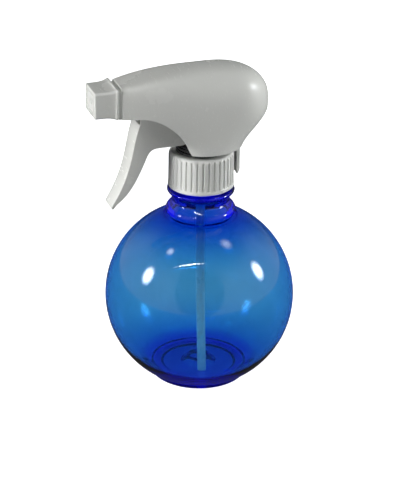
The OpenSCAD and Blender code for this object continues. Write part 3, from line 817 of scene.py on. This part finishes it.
HOLE_R = 0.35
disc = [(HOLE_R, 0.2), (0.45, 0.55), (1.25, 0.6), (1.4, 1.55), (2.2, 1.6), (5.6, 1.6),
        (DISC_R, 1.5), (DISC_R, 0.0), (HOLE_R, 0.0)]
disc = rounded([(r, SEAT_X - h) for r, h in disc], 0.12, 3, closed=True)
verts, faces = revolve(closed_profile(disc), 96, at=(0.0, BARREL_Z), along_x=True)
new_piece("orifice_disc", verts, faces, WHITE_COLLAR, "nozzle", ["nozzle_insert"],
          sharp=40)


# ---- trigger ------------------------------------------------------------------------------

PIVOT, TIP_HALF, TOP_HALF, SIDE, FACE = (-30.5, 150.0), 5.5, 6.6, 1.2, 1.9
TIP_Z = 98.0
HOLLOW_RISE = 1.4       # how far the hollow's face lies above the lever's own
PAD_HALF, PIN_R, PIN_IN, PIN_OUT = 2.0, 1.5, 2.6, 6.0
FACE_CURVE = [(-33.7, 142.0), (-38.2, 131.0), (-36.6, 118.0), (-47.6, 100.4)]


def trigger_half(z):
    """Half the lever's width at this height."""
    return TIP_HALF + (TOP_HALF - TIP_HALF) * (z - TIP_Z) / (PIVOT[1] - TIP_Z)


def wedge(outline, inset):
    """A plate with this outline in X and Z that reaches inset short of the lever's sides."""
    n = len(outline)
    verts = [(x, way * (trigger_half(z) - inset), z) for way in (-1, 1) for x, z in outline]
    faces = [tuple(range(n)), tuple(range(2 * n - 1, n - 1, -1))]
    for i in range(n):
        j = (i + 1) % n
        faces.append((i, i + n, j + n, j))
    return verts, faces


def no_repeats(points):
    out = []
    for p in points:
        if not out or math.dist(out[-1], p) > 0.02:
            out.append(p)
    while math.dist(out[0], out[-1]) < 0.02:
        out.pop()
    return out


def trigger_outline():
    """The lever from the side: round its pivot, down its face, over the tip and back up."""
    front = arc(PIVOT, 3.2, 100, 180, 12) + bezier(FACE_CURVE, 40)
    tip = arc((-47.4, 99.4), 1.1, 205, 285, 6)
    low = bezier([(-45.4, 100.6), (-37.6, 106.0), (-34.2, 115.0), (-31.2, 121.6)], 26)
    web = bezier([(-31.2, 121.6), (-29.0, 127.6), (-28.0, 128.4), (-23.0, 128.4)], 16)
    back = low + web + arc((-12.0, 130.4), 2.0, -90, 20, 8) + [(-16.0, 141.0)]
    return no_repeats(front + tip + back)


def trigger_hollow():
    """Outline of the room between the lever's two sides, behind its face."""
    shift = (FACE, HOLLOW_RISE)
    face = bezier(FACE_CURVE[:3] + [(-46.0, 101.0)], 36)
    face = [(-32.5, 170.0), (-35.6, 142.0)] + face + [(-40.0, 95.0), (0.0, 95.0), (0.0, 170.0)]
    return no_repeats([(x + shift[0], z + shift[1]) for x, z in face])


def combine(base, steps):
    """Cuts or adds solids one after another and drops them."""
    for kind, other in steps:
        m = base.modifiers.new("step", "BOOLEAN")
        m.operation, m.solver, m.object = kind, "EXACT", other
    apply_modifiers(base)
    for _, other in steps:
        bpy.data.objects.remove(other)
    clean(base.data)


above_face = [(-60.0, 141.4), (-10.0, 141.4), (-10.0, 170.0), (-60.0, 170.0)]
pad = [(-34.6, 134.5), (-29.6, 134.5), (-29.6, 141.2), (-33.6, 141.2)]
lever = solid("pull_trigger", *wedge(trigger_outline(), 0.0))
pad_verts = [(x, y, z) for y in (-PAD_HALF, PAD_HALF) for x, z in pad]
pad_faces = [(0, 1, 2, 3), (7, 6, 5, 4)] + [(i, i + 4, (i + 1) % 4 + 4, (i + 1) % 4)
                                            for i in range(4)]
combine(lever, [("DIFFERENCE", solid("hollow", *wedge(trigger_hollow(), SIDE))),
                ("DIFFERENCE", solid("open_top", *wedge(above_face, SIDE))),
                ("UNION", solid("pad", pad_verts, pad_faces))])
finish_piece(lever, WHITE, "trigger", ["trigger"], 30, 0.3)
for way, name in ((-1, "trigger_pin_right"), (1, "trigger_pin_left")):
    low, high = sorted((way * PIN_IN, way * PIN_OUT))
    pin = rounded([(0.0, low), (PIN_R, low), (PIN_R, high), (0.0, high)], 0.25, 3)
    verts, faces = revolve(pin, 40)
    verts = [(PIVOT[0] + x, z, PIVOT[1] + y) for x, y, z in verts]
    new_piece(name, verts, faces, WHITE, "trigger", (), sharp=40)


# ---- looks of the CAD pieces that stay ----------------------------------------------------

LOOKS = {
    "engine_body": WHITE_INNER, "tube_retainer": MILKY, "inlet_ball": BALL,
    "outlet_valve": MILKY, "outlet_spring": WIRE, "outlet_plug": WHITE_INNER,
    "vent_seal": RUBBER, "spinner_core": MILKY, "nozzle_seal": RUBBER, "piston": MILKY,
    "piston_seal_outer": RUBBER, "piston_seal_inner": RUBBER, "return_spring": WIRE,
}
for node, material in LOOKS.items():
    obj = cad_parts[node]
    for slot in obj.material_slots:
        slot.material = material
    for p in obj.data.polygons:
        p.use_smooth = True
    obj.data.set_sharp_from_angle(angle=math.radians(30))


# ---- stage, light and camera --------------------------------------------------------------

FLOOR_HALF, FLOOR_DROP, FLOOR_GLOW = 4.0, 2e-4, 1.15


def floor_material():
    """Pale matt floor with a glow that keeps it even all over."""
    g = Graph("pale_floor")
    tone = g.blend(g.ramp(g.noise(3.0, 4.0), 0.3, 0.7, 0.0, 1.0), (0.90, 0.90, 0.90),
                   (0.87, 0.87, 0.875))
    matt = g.add("ShaderNodeBsdfDiffuse")
    g.link(tone, matt.inputs["Color"])
    glow = g.add("ShaderNodeEmission")
    glow.inputs["Strength"].default_value = FLOOR_GLOW
    g.link(tone, glow.inputs["Color"])
    both = g.add("ShaderNodeAddShader")
    g.link(matt.outputs[0], both.inputs[0])
    g.link(glow.outputs[0], both.inputs[1])
    g.link(both.outputs[0], g.out.inputs["Surface"])
    return g.material


def sheet_object(name, corners, material):
    """A flat piece of the stage with four corners, in metres."""
    mesh = bpy.data.meshes.new(name)
    mesh.from_pydata(corners, [], [(0, 1, 2, 3)])
    obj = bpy.data.objects.new(name, mesh)
    scene.collection.objects.link(obj)
    obj.data.materials.append(material)
    return obj


ground = sheet_object("floor", [(x * FLOOR_HALF, y * FLOOR_HALF, -FLOOR_DROP)
                                for x, y in ((-1, -1), (1, -1), (1, 1), (-1, 1))],
                      floor_material())
ground.visible_diffuse = False
ground.visible_glossy = False


def soften(data):
    """Lets a lamp's light fall off from its middle to its edge."""
    data.use_nodes = True
    tree = data.node_tree
    glow = next(n for n in tree.nodes if n.type == "EMISSION")
    place = tree.nodes.new("ShaderNodeNewGeometry")
    away = tree.nodes.new("ShaderNodeVectorMath")
    away.operation = "DISTANCE"
    away.inputs[1].default_value = (0.5, 0.5, 0.0)
    fall = tree.nodes.new("ShaderNodeMapRange")
    fall.interpolation_type = "SMOOTHSTEP"
    fall.inputs["From Max"].default_value = 0.5
    fall.inputs["To Min"].default_value = 3.0
    fall.inputs["To Max"].default_value = 0.0
    tree.links.new(place.outputs["Parametric"], away.inputs[0])
    tree.links.new(away.outputs["Value"], fall.inputs["Value"])
    tree.links.new(fall.outputs["Result"], glow.inputs["Strength"])


AIM = Vector((0, 0, 0.07))      # the point that every lamp faces


def area_light(name, direction, distance, size, power, colour=(1, 1, 1)):
    """A soft lamp that lies in this direction from AIM, in metres and watts."""
    data = bpy.data.lights.new(name, "AREA")
    data.shape = "RECTANGLE"
    data.size, data.size_y = size
    data.energy, data.color = power, colour
    soften(data)
    lamp = bpy.data.objects.new(name, data)
    way = Vector(direction).normalized()
    lamp.location = AIM + way * distance
    lamp.rotation_euler = way.to_track_quat("Z", "Y").to_euler()
    scene.collection.objects.link(lamp)
    return lamp


def fill_light(name, direction, distance, size, power):
    """Soft light that brightens matt surfaces and isn't mirrored in the clear ones."""
    lamp = area_light(name, direction, distance, size, power)
    lamp.visible_glossy = lamp.visible_transmission = False


# name: direction from AIM, distance, (width, height), power and, where it isn't white, colour
LAMPS = {
    "lamp_left": ((-0.915, 0.079, 0.395), 1.0, (0.33, 0.43), 5.6),
    "lamp_right": ((0.874, -0.306, 0.377), 1.0, (0.33, 0.43), 5.2, (0.97, 0.99, 1.0)),
    "lamp_high_left": ((-0.54, 0.067, 0.839), 1.0, (0.22, 0.22), 0.4),
    "lamp_high_right": ((0.447, -0.099, 0.889), 1.0, (0.3, 0.3), 0.5),
}
FILLS = {
    "fill_left": ((-0.97, -0.15, 0.05), 1.2, (1.0, 1.0), 15.0),
    "fill_right": ((0.93, -0.33, 0.05), 1.2, (1.0, 1.0), 10.0),
    "fill_back": ((0.35, 0.93, 0.1), 1.3, (1.2, 0.9), 6.0),
    "fill_front": ((-0.2, -0.97, -0.02), 1.4, (1.4, 0.7), 3.4),
}
for name, lamp in LAMPS.items():
    area_light(name, *lamp)
for name, lamp in FILLS.items():
    fill_light(name, *lamp)

STRIP_SIZE, STRIP_POWER = (0.8, 0.03), 1.2
STRIP_ENDS = (Vector((-0.606, -0.292, 0.74)), Vector((-0.077, -0.502, 0.862)))
middle = (STRIP_ENDS[0] + STRIP_ENDS[1]) / 2
along = (STRIP_ENDS[1] - STRIP_ENDS[0]).normalized()
strip = area_light("strip", middle, middle.length, STRIP_SIZE, STRIP_POWER)
toward = middle.normalized()
side = toward.cross(along).normalized()
strip.rotation_euler = Matrix((along, side, along.cross(side))).transposed().to_euler()
if (strip.rotation_euler.to_matrix() @ Vector((0, 0, 1))).dot(toward) < 0:
    strip.rotation_euler = Matrix((along, -side, -along.cross(side))).transposed().to_euler()


# each edge: where it starts and ends, then the strength before and after it
TABLE, CEILING = (-0.06, -0.01, 0.05, 0.55), (0.5, 0.85, 1.0, 0.15)
PERSON, PERSON_EDGE = (-0.29, -0.85, 0.43), (0.85, 0.875, 1.0, 0.2)
FAR_SIDE, FAR_EDGE = (0.3, 0.85, 0.5), (0.6, 0.9, 1.0, 0.12)
WALL_COLOUR = (0.98, 1.0, 0.97, 1.0)


def studio_world():
    """A grey room: bright walls round about, dark ceiling and table, and a dark patch on the
    side where one stands and on the side across from it."""
    made = bpy.data.worlds.new("studio")
    made.use_nodes = True
    tree = made.node_tree
    back = tree.nodes["Background"]
    place = tree.nodes.new("ShaderNodeTexCoord")
    split = tree.nodes.new("ShaderNodeSeparateXYZ")
    tree.links.new(place.outputs["Generated"], split.inputs[0])

    def step(source, low, high, start, end):
        node = tree.nodes.new("ShaderNodeMapRange")
        node.interpolation_type = "SMOOTHSTEP"
        for key, value in (("From Min", low), ("From Max", high), ("To Min", start),
                           ("To Max", end)):
            node.inputs[key].default_value = value
        tree.links.new(source, node.inputs["Value"])
        return node.outputs["Result"]

    def toward(direction):
        node = tree.nodes.new("ShaderNodeVectorMath")
        node.operation = "DOT_PRODUCT"
        node.inputs[1].default_value = Vector(direction).normalized()
        tree.links.new(place.outputs["Generated"], node.inputs[0])
        return node.outputs["Value"]

    strength = step(split.outputs["Z"], *TABLE)
    for factor in (step(split.outputs["Z"], *CEILING), step(toward(PERSON), *PERSON_EDGE),
                   step(toward(FAR_SIDE), *FAR_EDGE)):
        node = tree.nodes.new("ShaderNodeMath")
        node.operation = "MULTIPLY"
        tree.links.new(strength, node.inputs[0])
        tree.links.new(factor, node.inputs[1])
        strength = node.outputs[0]
    back.inputs["Color"].default_value = WALL_COLOUR
    tree.links.new(strength, back.inputs["Strength"])
    return made


scene.world = studio_world()
scene.world.cycles_visibility.diffuse = False

YAW, PITCH_DOWN, ROLL = math.radians(19.35), math.radians(25.49), math.radians(0.88)
AWAY, EYE_HEIGHT, LENS, SENSOR = 0.991, 0.545, 162.8, 36.0      # metres, then millimetres
NEAR, FAR = 0.05, 20.0

data = bpy.data.cameras.new("camera")
data.lens, data.sensor_width, data.sensor_fit = LENS, SENSOR, "AUTO"
data.clip_start, data.clip_end = NEAR, FAR
data.dof.use_dof = False
camera = bpy.data.objects.new("camera", data)
scene.collection.objects.link(camera)
sy, cy = math.sin(YAW), math.cos(YAW)
forward = Vector((sy * math.cos(PITCH_DOWN), cy * math.cos(PITCH_DOWN), -math.sin(PITCH_DOWN)))
right = Vector((cy, -sy, 0.0))
up = right.cross(forward)
cam_right = right * math.cos(ROLL) + up * math.sin(ROLL)
cam_up = up * math.cos(ROLL) - right * math.sin(ROLL)
camera.matrix_world = Matrix((
    (cam_right.x, cam_up.x, -forward.x, -AWAY * sy),
    (cam_right.y, cam_up.y, -forward.y, -AWAY * cy),
    (cam_right.z, cam_up.z, -forward.z, EYE_HEIGHT),
    (0, 0, 0, 1)))
scene.camera = camera

scene.view_settings.view_transform = "Standard"
scene.cycles.max_bounces = 24
scene.cycles.transmission_bounces = 24
scene.cycles.glossy_bounces = 10
scene.cycles.diffuse_bounces = 4
scene.cycles.transparent_max_bounces = 16
scene.cycles.caustics_refractive = True
scene.cycles.caustics_reflective = True
